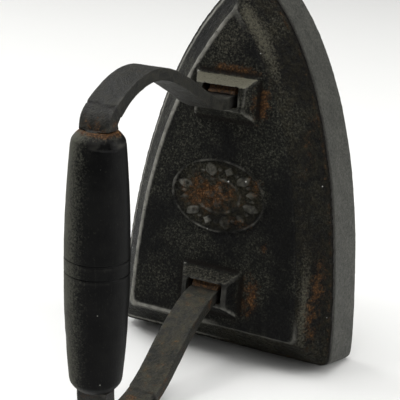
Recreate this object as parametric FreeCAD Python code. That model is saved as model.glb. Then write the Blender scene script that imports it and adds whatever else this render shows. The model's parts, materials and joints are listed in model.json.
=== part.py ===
import FreeCAD, Part
import math
import os

# Heel-standing sad iron: one iron casting, one forged handle bar, a turned grip
# that turns on the bar, and the two iron wedges that lock the bar's feet.
# Sub-parts are drawn in the iron's own axes (X from heel to toe, Y across,
# Z from the sole up to the handle) and then stood on the heel.

# ---- casting (mm) ----
BODY_LENGTH = 164.2
BODY_WIDTH = 105.6
BODY_SHOULDER = (79.6, 51.1)
BODY_NEAR_TIP = (137.6, 35.2)
EDGE_HEIGHT = 22.8
PANEL_RISE = 13.7
SOLE_EASE = 1.8
WALL_DRAFT = 1.4
DRAFT_FOOT_Z = 2.4
HEEL_CORNER_R = 4.5
PANEL_HEEL_X = 12.1
PANEL_HALF_WIDTH = 40.0
PANEL_SHOULDER = (61.0, 38.9)
PANEL_NEAR_TIP = (109.0, 31.7)
PANEL_TIP_X = 148.1
PANEL_TOP_Z = EDGE_HEIGHT + PANEL_RISE
PANEL_CORNER_R = 3.0

# ---- cast bosses and their sockets ----
BOSS_HEIGHT = 6.5
FRONT_BOSS_X = 111.5
FRONT_BOSS_LENGTH = 19.4
FRONT_BOSS_WIDTH = 30.4
REAR_BOSS_X = 27.2
REAR_BOSS_LENGTH = 20.0
REAR_BOSS_WIDTH = 28.6
BOSS_SLOPE_END = 4.4
BOSS_SLOPE_SIDE = 3.6
BOSS_TOP_Z = PANEL_TOP_Z + BOSS_HEIGHT
SOCKET_DEPTH = 22.0
SOCKET_LENGTH = 8.6
SOCKET_WIDTH = 16.6
FRONT_SOCKET_X = 112.2
REAR_SOCKET_X = 27.7

# ---- oval medallion ----
MEDALLION_X = 68.5
MEDALLION_HALF_LENGTH = 15.8
MEDALLION_HALF_WIDTH = 22.8
MEDALLION_RISE = 0.9
MEDALLION_BAND = 1.6
MEDALLION_INNER_SCALE = 0.47

# ---- forged handle bar ----
BAR_WIDTH = 14.0
BAR_THICKNESS = 5.0
NECK_THICKNESS = 6.4
NECK_LENGTH = 2.4
BAR_EDGE_R = 0.8
LIMB_STATIONS = 20
CORE_DIAMETER = 10.0
FOOT_GAP = 0.05
FOOT_BOTTOM_Z = BOSS_TOP_Z - SOCKET_DEPTH + 0.5
# centre line of the front limb, from the socket up to the neck
FRONT_LIMB = [
    (110.0, 50.0),
    (112.0, 60.0),
    (116.4, 70.5),
    (121.2, 82.0),
    (124.9, 93.5),
    (126.0, 103.0),
    (124.3, 112.5),
    (119.4, 122.6),
    (114.8, 128.4),
]
# centre line of the rear limb, from the socket out past the heel to the neck
REAR_LIMB = [
    (23.8, 48.6),
    (18.6, 57.0),
    (10.8, 66.8),
    (2.4, 75.2),
    (-4.4, 83.4),
    (-9.4, 93.2),
    (-11.2, 102.5),
    (-9.0, 112.0),
    (-3.2, 119.2),
]

# ---- turned grip ----
GRIP_LENGTH = 100.6
GRIP_MAX_DIAMETER = 25.0
GRIP_SHOULDER_DIAMETER = 20.6
GRIP_FACE_DIAMETER = 14.4
GRIP_CHAMFER_LENGTH = 4.6
GRIP_BORE = 10.5
GRIP_REAR_FACE = (7.0, 122.3)
GRIP_RISE_ANGLE = 5.3
GROOVE_WIDTH = 0.9
GROOVE_DEPTH = 0.45
GROOVE_POSITIONS = [47.4, 53.0]
GRIP_END_PLAY = 0.3

# ---- wedges ----
WEDGE_WIDTH = 13.0
WEDGE_LENGTH = 17.0
WEDGE_TIP = 2.6
WEDGE_RECESS = 1.0

# ---- standing pose: tilt back until the handle's loop meets the floor ----
STANDING_TILT = 7.11


def vec(x, y, z):
    return FreeCAD.Vector(x, y, z)


def outline_wire(heel_x, half_width, shoulder, near_tip, tip_x, z, corner_r):
    """Closed lancet outline with a flat heel, rounded heel corners and a pointed toe."""
    start = vec(heel_x + corner_r, half_width, z)
    curve = Part.BezierCurve()
    curve.setPoles([
        start,
        vec(shoulder[0], shoulder[1], z),
        vec(near_tip[0], near_tip[1], z),
        vec(tip_x, 0, z),
    ])
    mirrored = Part.BezierCurve()
    mirrored.setPoles([
        vec(tip_x, 0, z),
        vec(near_tip[0], -near_tip[1], z),
        vec(shoulder[0], -shoulder[1], z),
        vec(heel_x + corner_r, -half_width, z),
    ])
    bulge = corner_r * (1 - math.sqrt(0.5))
    side = half_width - corner_r
    right_arc = Part.Arc(
        vec(heel_x + corner_r, -half_width, z),
        vec(heel_x + bulge, -half_width + bulge, z),
        vec(heel_x, -side, z),
    )
    left_arc = Part.Arc(
        vec(heel_x, side, z),
        vec(heel_x + bulge, half_width - bulge, z),
        start,
    )
    heel = Part.makeLine(vec(heel_x, -side, z), vec(heel_x, side, z))
    edges = [curve.toShape(), mirrored.toShape(), right_arc.toShape(), heel, left_arc.toShape()]
    return Part.Wire(edges)


def side_outline(grow, z):
    """Body outline grown outward by a small amount at height z."""
    return outline_wire(
        -grow,
        BODY_WIDTH / 2 + grow,
        (BODY_SHOULDER[0], BODY_SHOULDER[1] + grow),
        (BODY_NEAR_TIP[0] + 0.6 * grow, BODY_NEAR_TIP[1] + 0.8 * grow),
        BODY_LENGTH + 1.3 * grow,
        z,
        HEEL_CORNER_R,
    )


def panel_outline(z):
    return outline_wire(
        PANEL_HEEL_X,
        PANEL_HALF_WIDTH,
        PANEL_SHOULDER,
        PANEL_NEAR_TIP,
        PANEL_TIP_X,
        z,
        PANEL_CORNER_R,
    )


def rectangle_wire(cx, length, width, z):
    hx = length / 2
    hy = width / 2
    return Part.makePolygon([
        vec(cx - hx, -hy, z),
        vec(cx + hx, -hy, z),
        vec(cx + hx, hy, z),
        vec(cx - hx, hy, z),
        vec(cx - hx, -hy, z),
    ])


def make_boss(cx, length, width):
    """Low pyramid-sided boss, sunk 1 mm into the panel so the casting is one piece."""
    sink = 1.0
    spread = sink / BOSS_HEIGHT
    base = rectangle_wire(
        cx,
        length + 2 * BOSS_SLOPE_END * spread,
        width + 2 * BOSS_SLOPE_SIDE * spread,
        PANEL_TOP_Z - sink,
    )
    face = rectangle_wire(cx, length - 2 * BOSS_SLOPE_END, width - 2 * BOSS_SLOPE_SIDE, BOSS_TOP_Z)
    boss = Part.makeLoft([base, face], True, True)
    return boss.makeFillet(0.8, boss.Edges[:])


def make_socket(cx):
    return Part.makeBox(
        SOCKET_LENGTH,
        SOCKET_WIDTH,
        SOCKET_DEPTH + 1,
        vec(cx - SOCKET_LENGTH / 2, -SOCKET_WIDTH / 2, BOSS_TOP_Z - SOCKET_DEPTH),
    )


def elliptic_disc(half_length, half_width, bottom_z, height):
    ellipse = Part.Ellipse(vec(0, 0, 0), half_width, half_length)
    wire = Part.Wire(ellipse.toShape())
    wire.rotate(vec(0, 0, 0), vec(0, 0, 1), 90)
    wire.translate(vec(MEDALLION_X, 0, bottom_z))
    return Part.Face(wire).extrude(vec(0, 0, height))


def elliptic_ring(half_length, half_width, band):
    sink = 0.5
    bottom = PANEL_TOP_Z - sink
    height = MEDALLION_RISE + sink
    outer = elliptic_disc(half_length, half_width, bottom, height)
    inner = elliptic_disc(half_length - band, half_width - band, bottom, height)
    return outer.cut(inner)


def make_casting():
    sole = side_outline(WALL_DRAFT - SOLE_EASE, 0)
    foot = side_outline(WALL_DRAFT, DRAFT_FOOT_Z)
    brow = side_outline(0, EDGE_HEIGHT)
    panel = panel_outline(PANEL_TOP_Z)
    body = Part.makeLoft([sole, foot], True, True)
    body = body.fuse(Part.makeLoft([foot, brow], True, True))
    body = body.fuse(Part.makeLoft([brow, panel], True, True))
    body = body.fuse(make_boss(FRONT_BOSS_X, FRONT_BOSS_LENGTH, FRONT_BOSS_WIDTH))
    body = body.fuse(make_boss(REAR_BOSS_X, REAR_BOSS_LENGTH, REAR_BOSS_WIDTH))
    body = body.fuse(elliptic_ring(MEDALLION_HALF_LENGTH, MEDALLION_HALF_WIDTH, MEDALLION_BAND))
    body = body.fuse(elliptic_ring(
        MEDALLION_HALF_LENGTH * MEDALLION_INNER_SCALE,
        MEDALLION_HALF_WIDTH * MEDALLION_INNER_SCALE,
        MEDALLION_BAND * 0.75,
    ))
    body = body.cut(make_socket(FRONT_SOCKET_X))
    body = body.cut(make_socket(REAR_SOCKET_X))
    return body.removeSplitter()


def grip_axis():
    angle = math.radians(GRIP_RISE_ANGLE)
    return vec(math.cos(angle), 0, math.sin(angle))


def grip_point(distance):
    """Point on the grip's axis, measured from its rear end face."""
    return vec(GRIP_REAR_FACE[0], 0, GRIP_REAR_FACE[1]) + grip_axis() * distance


def limb_side(centres, normals, sign):
    """One face line of the bar, offset from the centre line; thicker toward the neck."""
    last = len(centres) - 1
    points = []
    for i in range(last + 1):
        swell = max(0.0, (i / last - 0.82) / 0.18)
        thickness = BAR_THICKNESS + (NECK_THICKNESS - BAR_THICKNESS) * swell
        points.append(centres[i] + normals[i] * (sign * thickness / 2))
    curve = Part.BSplineCurve()
    curve.interpolate(Points=points)
    return curve.toShape(), points[0], points[-1]


def make_limb(foot_x, points, neck_end, neck_dir):
    """Flat limb cut from its side profile: straight foot, long curve, short straight neck."""
    foot_bottom = vec(foot_x, 0, FOOT_BOTTOM_Z)
    foot_top = vec(foot_x, 0, BOSS_TOP_Z + 0.5)
    neck_start = neck_end - neck_dir * NECK_LENGTH
    path_points = [foot_bottom, foot_top]
    for x, z in points:
        path_points.append(vec(x, 0, z))
    path_points += [neck_start, neck_end]
    path = Part.BSplineCurve()
    path.interpolate(Points=path_points)
    first = path.parameter(foot_top)
    last = path.parameter(neck_start)
    centres = []
    normals = []
    for i in range(LIMB_STATIONS + 1):
        u = first + (last - first) * i / LIMB_STATIONS
        centres.append(path.value(u))
        normals.append(vec(0, 1, 0).cross(path.tangent(u)[0]))
    normals[0] = vec(1, 0, 0)
    normals[-1] = vec(0, 1, 0).cross(neck_dir)
    foot_drop = foot_bottom - foot_top
    outer, outer_foot, outer_neck = limb_side(centres, normals, 1)
    inner, inner_foot, inner_neck = limb_side(centres, normals, -1)
    neck_run = neck_dir * NECK_LENGTH
    edges = [
        outer,
        Part.makeLine(outer_neck, outer_neck + neck_run),
        Part.makeLine(outer_neck + neck_run, inner_neck + neck_run),
        Part.makeLine(inner_neck + neck_run, inner_neck),
        inner,
        Part.makeLine(inner_foot, inner_foot + foot_drop),
        Part.makeLine(inner_foot + foot_drop, outer_foot + foot_drop),
        Part.makeLine(outer_foot + foot_drop, outer_foot),
    ]
    wire = Part.Wire(Part.__sortEdges__(edges))
    wire.translate(vec(0, -BAR_WIDTH / 2, 0))
    limb = Part.Face(wire).extrude(vec(0, BAR_WIDTH, 0))
    long_edges = []
    for edge in limb.Edges:
        middle = edge.valueAt((edge.FirstParameter + edge.LastParameter) / 2)
        if abs(abs(middle.y) - BAR_WIDTH / 2) < 0.01 and edge.Length > BAR_THICKNESS * 1.6:
            long_edges.append(edge)
    return limb.makeFillet(BAR_EDGE_R, long_edges)


def make_handle_bar():
    axis = grip_axis()
    rear_end = grip_point(-GRIP_END_PLAY)
    front_end = grip_point(GRIP_LENGTH + GRIP_END_PLAY)
    front_foot_x = FRONT_SOCKET_X - SOCKET_LENGTH / 2 + BAR_THICKNESS / 2 + FOOT_GAP
    rear_foot_x = REAR_SOCKET_X - SOCKET_LENGTH / 2 + BAR_THICKNESS / 2 + FOOT_GAP
    front = make_limb(front_foot_x, FRONT_LIMB, front_end, axis * -1)
    rear = make_limb(rear_foot_x, REAR_LIMB, rear_end, axis)
    core_length = GRIP_LENGTH + 2 * GRIP_END_PLAY + 2
    core = Part.makeCylinder(CORE_DIAMETER / 2, core_length, grip_point(-GRIP_END_PLAY - 1), axis)
    return front.fuse(core).fuse(rear).removeSplitter()


def barrel_point(distance):
    """Point on the barrel's long arc, at a distance from the grip's rear face."""
    half_chord = GRIP_LENGTH / 2 - GRIP_CHAMFER_LENGTH
    rise = (GRIP_MAX_DIAMETER - GRIP_SHOULDER_DIAMETER) / 2
    arc_radius = (half_chord ** 2 + rise ** 2) / (2 * rise)
    from_middle = distance - GRIP_LENGTH / 2
    drop = arc_radius - math.sqrt(arc_radius ** 2 - from_middle ** 2)
    return vec(GRIP_MAX_DIAMETER / 2 - drop, 0, distance)


def barrel_arc(start, end):
    arc = Part.Arc(barrel_point(start), barrel_point((start + end) / 2), barrel_point(end))
    return arc.toShape()


def make_grip():
    """Barrel-shaped turned grip with chamfered ends, two fine grooves and a through bore."""
    shoulder = GRIP_SHOULDER_DIAMETER / 2
    face = GRIP_FACE_DIAMETER / 2
    first = GRIP_CHAMFER_LENGTH
    last = GRIP_LENGTH - GRIP_CHAMFER_LENGTH
    edges = [
        Part.makeLine(vec(0, 0, 0), vec(face, 0, 0)),
        Part.makeLine(vec(face, 0, 0), vec(shoulder, 0, first)),
    ]
    done = first
    for position in GROOVE_POSITIONS:
        near = position - GROOVE_WIDTH / 2
        far = position + GROOVE_WIDTH / 2
        groove_floor = barrel_point(position) - vec(GROOVE_DEPTH, 0, 0)
        groove = Part.Arc(barrel_point(near), groove_floor, barrel_point(far))
        edges.append(barrel_arc(done, near))
        edges.append(groove.toShape())
        done = far
    edges += [
        barrel_arc(done, last),
        Part.makeLine(vec(shoulder, 0, last), vec(face, 0, GRIP_LENGTH)),
        Part.makeLine(vec(face, 0, GRIP_LENGTH), vec(0, 0, GRIP_LENGTH)),
        Part.makeLine(vec(0, 0, GRIP_LENGTH), vec(0, 0, 0)),
    ]
    grip = Part.Face(Part.Wire(edges)).revolve(vec(0, 0, 0), vec(0, 0, 1), 360)
    grip = grip.cut(Part.makeCylinder(GRIP_BORE / 2, GRIP_LENGTH + 2, vec(0, 0, -1)))
    grip.rotate(vec(0, 0, 0), vec(0, 1, 0), 90 - GRIP_RISE_ANGLE)
    grip.translate(grip_point(0))
    return grip


def make_wedge(socket_x):
    """Tapered packing wedge driven between the bar's foot and the toe side of the socket."""
    wall = socket_x + SOCKET_LENGTH / 2 - FOOT_GAP
    bar_face = socket_x - SOCKET_LENGTH / 2 + BAR_THICKNESS + 2 * FOOT_GAP
    top = BOSS_TOP_Z - WEDGE_RECESS
    bottom = top - WEDGE_LENGTH
    half = WEDGE_WIDTH / 2
    profile = Part.makePolygon([
        vec(bar_face, -half, top),
        vec(wall, -half, top),
        vec(bar_face + WEDGE_TIP, -half, bottom),
        vec(bar_face, -half, bottom),
        vec(bar_face, -half, top),
    ])
    return Part.Face(profile).extrude(vec(0, WEDGE_WIDTH, 0))


def stand_up(shape):
    """Turn the iron's own axes to the standing pose: toe up, handle toward -Y."""
    shape.rotate(vec(0, 0, 0), vec(0, 1, 0), -90 + STANDING_TILT)
    shape.rotate(vec(0, 0, 0), vec(0, 0, 1), 90)
    return shape


parts = {
    "body_casting": make_casting(),
    "handle_bar": make_handle_bar(),
    "grip": make_grip(),
    "front_wedge": make_wedge(FRONT_SOCKET_X),
    "rear_wedge": make_wedge(REAR_SOCKET_X),
}
for shape in parts.values():
    stand_up(shape)
bounds = Part.makeCompound(list(parts.values())).optimalBoundingBox(True, False)
centring = vec(-bounds.Center.x, -bounds.Center.y, -bounds.ZMin)
os.makedirs("parts", exist_ok=True)
for name, shape in parts.items():
    shape.translate(centring)
    shape.exportStep("parts/" + name + ".step")
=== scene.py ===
import json
import math

import bmesh
import bpy
import numpy as np
from mathutils import Matrix, Vector, noise


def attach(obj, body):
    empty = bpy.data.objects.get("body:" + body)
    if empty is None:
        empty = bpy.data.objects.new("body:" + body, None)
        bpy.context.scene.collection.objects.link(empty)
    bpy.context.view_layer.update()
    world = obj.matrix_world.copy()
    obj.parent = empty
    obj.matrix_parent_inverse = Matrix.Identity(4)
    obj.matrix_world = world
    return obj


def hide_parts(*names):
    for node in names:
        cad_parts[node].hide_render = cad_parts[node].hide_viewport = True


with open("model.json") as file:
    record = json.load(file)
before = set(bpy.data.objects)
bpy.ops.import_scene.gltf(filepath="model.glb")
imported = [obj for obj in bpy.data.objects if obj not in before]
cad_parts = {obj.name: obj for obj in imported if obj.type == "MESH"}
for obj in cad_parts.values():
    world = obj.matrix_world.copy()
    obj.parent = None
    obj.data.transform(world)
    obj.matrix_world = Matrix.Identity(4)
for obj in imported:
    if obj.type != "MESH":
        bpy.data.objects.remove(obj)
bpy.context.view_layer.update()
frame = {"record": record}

# The iron's own axes: X from heel to toe, Y to its left, Z from sole to handle,
# in mm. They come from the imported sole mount, which lies SOLE_MOUNT_X from the
# heel on the centre line and points away from the casting.
MM = 0.001
SOLE_MOUNT_X = 70.0
sole_mount = next(m for m in frame["record"]["mounts"] if m["name"] == "sole")
Z_AXIS = -np.array(sole_mount["axis"])
Y_AXIS = np.array([-1.0, 0.0, 0.0])
X_AXIS = np.cross(Y_AXIS, Z_AXIS)
ORIGIN = np.array(sole_mount["pos_m"]) - SOLE_MOUNT_X * MM * X_AXIS

# ---- casting (mm): the CAD part's sizes; only BEVEL_HOLLOW is added here ----
# SHOULDER and NEAR_TIP steer the curve from the heel corner to the tip
HALF_WIDTH = 52.8
SHOULDER = (79.6, 51.1)
NEAR_TIP = (137.6, 35.2)
TIP_X = 164.2
HEEL_CORNER_R = 4.5
WALL_DRAFT = 1.4
SOLE_EASE = 1.8
FOOT_Z = 2.4
BROW_Z = 22.8
PANEL_Z = 36.5
PANEL_HEEL_X = 12.1
PANEL_HALF_WIDTH = 40.0
PANEL_SHOULDER = (61.0, 38.9)
PANEL_NEAR_TIP = (109.0, 31.7)
PANEL_TIP_X = 148.1
PANEL_CORNER_R = 3.0
BEVEL_HOLLOW = 0.35
BOSS_TOP_Z = 43.0
# bosses: centre x, length, width; slopes: run along x, run across y
FRONT_BOSS = (111.5, 19.4, 30.4)
REAR_BOSS = (27.2, 20.0, 28.6)
BOSS_SLOPES = (4.4, 3.6)
# sockets: length, width, depth
SOCKET = (8.6, 16.6, 22.0)
FRONT_SOCKET_X = 112.2
REAR_SOCKET_X = 27.7
MEDALLION_X = 68.5
MEDALLION_HALF = (15.8, 22.8)

# ---- casting, how it is meshed ----
HEEL_POINTS = 24
CORNER_POINTS = 9
CURVE_POINTS = 120
WALL_STEPS = 6
CASTING_VOXEL = 0.67
EDGE_CRISPING = 1.2
# the sole is flat below FLAT_SOLE_Z, and keeps this share of its faces
FLAT_SOLE_Z = 0.02
SOLE_KEPT = 0.12

# ---- medallion ornament: places and sizes as shares of the oval's radius ----
RELIEF = 1.1
# rings: place, half-width, height as a share of RELIEF
OUTER_RING = (0.97, 0.05, 0.75)
INNER_RING = (0.46, 0.08, 0.7)
MOTIFS = 12
MOTIF_PLACE = 0.72
MOTIF_HALF_WIDTH = 0.11
LEAF_HALF_LENGTH = 0.18
LOZENGE_HALF_LENGTH = 0.14
BEAD_RADIUS = 0.05
ROSETTE_LOBES = 4
ROSETTE_RADIUS = 0.21
ROSETTE_SWING = 0.11

# ---- forged bar (mm) ----
# its edges are a little sharper than the CAD part's; the core, hidden in the grip,
# is a rounded square, 10.1 mm across its corners, where the CAD part has a 10 mm round
BAR_WIDTH = 14.0
BAR_THICKNESS = 5.0
NECK_THICKNESS = 6.4
NECK_LENGTH = 2.4
CORE_WIDTH = 9.6
CORE_CORNER_R = 4.2
FOOT_BOTTOM_Z = BOSS_TOP_Z - SOCKET[2] + 0.5
FRONT_FOOT_X = 110.45
REAR_FOOT_X = 25.95
BAR_STEP = 0.6
BAR_EDGE_R = 0.6
# the front neck's lap and the rear limb's scarf weld, by distance from the neck
LAP_PLACE = 7.6
WELD_PLACE = 46.0
# (x, z) along the middle of each limb, from its boss to its neck
FRONT_LIMB = [
    (110.0, 50.0), (112.0, 60.0), (116.4, 70.5), (121.2, 82.0), (124.9, 93.5),
    (126.0, 103.0), (124.3, 112.5), (119.4, 122.6), (114.8, 128.4),
]
REAR_LIMB = [
    (23.8, 48.6), (18.6, 57.0), (10.8, 66.8), (2.4, 75.2), (-4.4, 83.4),
    (-9.4, 93.2), (-11.2, 102.5), (-9.0, 112.0), (-3.2, 119.2),
]

# ---- turned grip (mm): the CAD part's sizes, but for slightly shallower grooves ----
GRIP_LENGTH = 100.6
GRIP_MAX_R = 12.5
GRIP_SHOULDER_R = 10.3
GRIP_FACE_R = 7.2
GRIP_CHAMFER = 4.6
GRIP_BORE_R = 5.25
GRIP_REAR_FACE = (7.0, 122.3)
GRIP_RISE = math.radians(5.3)
GRIP_END_PLAY = 0.3
GRIP_AROUND = 240
GRIP_END_SPAN = 7
GROOVES = (47.4, 53.0)
GROOVE_WIDTH = 0.9
GROOVE_DEPTH = 0.42
GROOVE_SPAN = 1.4

# ---- wedges (mm) ----
WEDGE_WIDTH = 13.0
WEDGE_TOP_Z = BOSS_TOP_Z - 1.0
WEDGE_LENGTH = 17.0
WEDGE_TIP = 2.6
WEDGE_HEAD_DROP = 1.8


# ---- Small helpers for arrays and meshes ----
def to_world(points):
    """Points in the iron's axes, in mm, as points of the shared frame, in metres."""
    return ORIGIN + MM * (points @ np.array([X_AXIS, Y_AXIS, Z_AXIS]))


def smoothstep(low, high, value):
    t = np.clip((value - low) / (high - low), 0, 1)
    return t * t * (3 - 2 * t)


def hump(value, centre, half):
    """1 at the centre, falling smoothly to 0 at centre plus or minus half."""
    return smoothstep(1, 0, np.abs(value - centre) / half)


def fractal(points, size, octaves=3, seed=0.0):
    """Fractal noise, about -1 to 1, whose largest features are about size mm."""
    shift = Vector((seed * 7.31, seed * 3.17, seed * 5.73))
    return np.array([noise.fractal(Vector(p) / size + shift, 1.0, 2.0, octaves) for p in points])


def pits(points, size, seed=0.0):
    """Sparse round pits: 1 at the middle of some cells, 0 elsewhere."""
    shift = Vector((seed * 2.9, seed * 6.1, seed * 4.3))
    out = np.zeros(len(points))
    for i, p in enumerate(points):
        q = Vector(p) / size + shift
        distances, places = noise.voronoi(q)
        chosen = noise.cell(places[0] * 31.7) > 0.25
        out[i] = max(0.0, 1 - distances[0] / 0.32) if chosen else 0.0
    return out


def raw_mesh(name, points, faces):
    mesh = bpy.data.meshes.new(name)
    mesh.from_pydata([tuple(p) for p in points], [], faces)
    bm = bmesh.new()
    bm.from_mesh(mesh)
    bmesh.ops.recalc_face_normals(bm, faces=bm.faces)
    bm.to_mesh(mesh)
    bm.free()
    return mesh


def add_object(name, mesh):
    obj = bpy.data.objects.new(name, mesh)
    bpy.context.scene.collection.objects.link(obj)
    return obj


def baked(obj):
    """The object's mesh with its modifiers applied; the helper object goes."""
    bpy.context.view_layer.update()
    graph = bpy.context.evaluated_depsgraph_get()
    mesh = bpy.data.meshes.new_from_object(obj.evaluated_get(graph))
    bpy.data.objects.remove(obj)
    return mesh


def coords(mesh):
    out = np.zeros(len(mesh.vertices) * 3)
    mesh.vertices.foreach_get("co", out)
    return out.reshape(-1, 3)


def normals(mesh):
    out = np.zeros(len(mesh.vertices) * 3, np.float32)
    mesh.vertex_normals.foreach_get("vector", out)
    return out.reshape(-1, 3).astype(float)


def set_coords(mesh, points):
    mesh.vertices.foreach_set("co", points.astype(np.float32).ravel())
    mesh.update()


def edge_pairs(mesh):
    out = np.zeros(len(mesh.edges) * 2, np.int64)
    mesh.edges.foreach_get("vertices", out)
    return out.reshape(-1, 2)


def neighbour_mean(values, pairs):
    """Mean over each vertex's neighbours, for one column or several."""
    flat = values.reshape(len(values), -1)
    a, b = pairs[:, 0], pairs[:, 1]
    count = np.bincount(a, minlength=len(flat)) + np.bincount(b, minlength=len(flat))
    columns = []
    for k in range(flat.shape[1]):
        total = np.bincount(a, flat[b, k], len(flat)) + np.bincount(b, flat[a, k], len(flat))
        columns.append(total / np.maximum(count, 1))
    return np.array(columns).T.reshape(values.shape)


def convexity(mesh, rounds):
    """Positive on outside edges, negative in hollows, in mm of sag per neighbour."""
    pairs = edge_pairs(mesh)
    points = coords(mesh)
    spread = points
    for _ in range(rounds):
        spread = neighbour_mean(spread, pairs)
    value = np.einsum("ij,ij->i", points - spread, normals(mesh))
    for _ in range(2):
        value = neighbour_mean(value, pairs)
    return value


def add_mask(mesh, name, values):
    layer = mesh.attributes.new(name, "FLOAT", "POINT")
    layer.data.foreach_set("value", np.clip(values, 0, 1).astype(np.float32))


def place(name, mesh, material, body, slot, *replaced):
    """Moves a mesh made in the iron's axes to the shared frame and makes it a piece."""
    set_coords(mesh, to_world(coords(mesh)))
    for polygon in mesh.polygons:
        polygon.use_smooth = True
    mesh.materials.clear()
    mesh.materials.append(material)
    piece = add_object(name, mesh)
    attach(piece, body)
    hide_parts(*replaced)
    return piece


def modifier(obj, kind, **settings):
    made = obj.modifiers.new(kind.lower(), kind)
    for key, value in settings.items():
        setattr(made, key, value)


# ---- Casting ----
def outline(heel_x, half_width, shoulder, near_tip, tip_x, corner_r):
    """Closed lancet outline, always with the same number of points."""
    side = half_width - corner_r
    heel = [(heel_x, y) for y in np.linspace(0, side, HEEL_POINTS, endpoint=False)]
    turn = np.linspace(math.pi, math.pi / 2, CORNER_POINTS)
    corner = [
        (heel_x + corner_r + corner_r * math.cos(a), side + corner_r * math.sin(a))
        for a in turn
    ]
    t = np.linspace(0, 1, CURVE_POINTS)[1:, None]
    poles = np.array([(heel_x + corner_r, half_width), shoulder, near_tip, (tip_x, 0)])
    curve = (
        (1 - t) ** 3 * poles[0]
        + 3 * (1 - t) ** 2 * t * poles[1]
        + 3 * (1 - t) * t**2 * poles[2]
        + t**3 * poles[3]
    )
    half = np.array(heel + corner + [tuple(p) for p in curve])
    mirrored = half[1:-1][::-1] * (1, -1)
    return np.vstack([half, mirrored])


def side_ring(grow, z):
    """The wall's outline at height z, grown outward by grow mm."""
    xy = outline(
        -grow,
        HALF_WIDTH + grow,
        (SHOULDER[0], SHOULDER[1] + grow),
        (NEAR_TIP[0] + 0.6 * grow, NEAR_TIP[1] + 0.8 * grow),
        TIP_X + 1.3 * grow,
        HEEL_CORNER_R,
    )
    return np.column_stack([xy, np.full(len(xy), z)])


def panel_ring(shrink, z):
    """The panel's outline at height z, shrunk inward by shrink mm."""
    xy = outline(
        PANEL_HEEL_X + shrink,
        PANEL_HALF_WIDTH - shrink,
        (PANEL_SHOULDER[0], PANEL_SHOULDER[1] - shrink),
        (PANEL_NEAR_TIP[0] - 0.6 * shrink, PANEL_NEAR_TIP[1] - 0.8 * shrink),
        PANEL_TIP_X - 1.6 * shrink,
        PANEL_CORNER_R,
    )
    return np.column_stack([xy, np.full(len(xy), z)])


def turned_edge(before, corner, after, steps=5):
    """Rings that round a sharp corner between two rings."""
    ts = np.linspace(0, 1, steps)
    return [(1 - t) ** 2 * before + 2 * t * (1 - t) * corner + t**2 * after for t in ts]


def body_rings():
    """Sole edge, drafted wall, brow, hollow bevel and panel edge, from the sole up."""
    brow = side_ring(0, BROW_Z)
    panel = panel_ring(0, PANEL_Z)

    def bevel(share):
        ring = brow + share * (panel - brow)
        ring[:, 2] -= BEVEL_HOLLOW * math.sin(math.pi * share)
        return ring

    sole_corner = side_ring(WALL_DRAFT - 0.2, 0)
    sole_edge = side_ring(WALL_DRAFT - SOLE_EASE, 0)
    rings = turned_edge(sole_edge, sole_corner, side_ring(WALL_DRAFT, FOOT_Z))
    for k in range(1, WALL_STEPS):
        height = FOOT_Z + (BROW_Z - FOOT_Z) * k / WALL_STEPS
        rings.append(side_ring(WALL_DRAFT * (1 - k / WALL_STEPS), height))
    rings += turned_edge(side_ring(0.07, BROW_Z - 1.0), brow, bevel(0.06))
    rings += [bevel(share) for share in (0.2, 0.35, 0.5, 0.65, 0.8)]
    rings += turned_edge(bevel(0.965), panel, panel_ring(0.6, PANEL_Z))
    return rings


def loft(rings):
    """Quads between rings of equal length, with a face on the first and last ring."""
    count = len(rings[0])
    points = np.vstack(rings)
    faces = []
    for k in range(len(rings) - 1):
        for i in range(count):
            j = (i + 1) % count
            faces.append((k * count + i, k * count + j, (k + 1) * count + j, (k + 1) * count + i))
    faces.append(tuple(range(count - 1, -1, -1)))
    faces.append(tuple(range(len(points) - count, len(points))))
    return points, faces


def boss_rings(boss):
    """Low sloped boss, sunk into the panel; the edges stay a little soft."""
    centre, length, width = boss
    rings = []
    # share of the slopes' run taken in, and height
    for inset_share, z in ((-0.3, PANEL_Z - 2), (0.93, BOSS_TOP_Z - 0.45), (1.04, BOSS_TOP_Z)):
        hx = length / 2 - BOSS_SLOPES[0] * inset_share
        hy = width / 2 - BOSS_SLOPES[1] * inset_share
        rings.append(np.array([
            (centre - hx, -hy, z),
            (centre + hx, -hy, z),
            (centre + hx, hy, z),
            (centre - hx, hy, z),
        ]))
    return rings


def socket_rings(x):
    """The socket's straight hole, open above the boss."""
    hx, hy = SOCKET[0] / 2, SOCKET[1] / 2
    return [
        np.array([(x - hx, -hy, z), (x + hx, -hy, z), (x + hx, hy, z), (x - hx, hy, z)])
        for z in (BOSS_TOP_Z - SOCKET[2], BOSS_TOP_Z + 2)
    ]


def rough_casting():
    """Body, bosses and sockets as one evenly meshed skin."""
    body = add_object("casting_base", raw_mesh("casting_base", *loft(body_rings())))
    tools = []
    for rings, operation in (
        (boss_rings(FRONT_BOSS), "UNION"),
        (boss_rings(REAR_BOSS), "UNION"),
        (socket_rings(FRONT_SOCKET_X), "DIFFERENCE"),
        (socket_rings(REAR_SOCKET_X), "DIFFERENCE"),
    ):
        tool = add_object("casting_tool", raw_mesh("casting_tool", *loft(rings)))
        modifier(body, "BOOLEAN", object=tool, operation=operation, solver="EXACT")
        tools.append(tool)
    modifier(body, "REMESH", mode="VOXEL", voxel_size=CASTING_VOXEL)
    mesh = baked(body)
    for tool in tools:
        bpy.data.objects.remove(tool)
    return thin_sole(mesh)


def thin_sole(mesh):
    """Fewer, larger faces on the flat sole, which carries no relief."""
    flat = coords(mesh)[:, 2] < FLAT_SOLE_Z
    body = add_object("casting_base", mesh)
    group = body.vertex_groups.new(name="flat_faces")
    group.add([int(i) for i in np.flatnonzero(flat)], 1.0, "REPLACE")
    kept = 1 - flat.mean() * (1 - SOLE_KEPT)
    modifier(body, "DECIMATE", ratio=kept, vertex_group="flat_faces")
    return baked(body)


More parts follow.
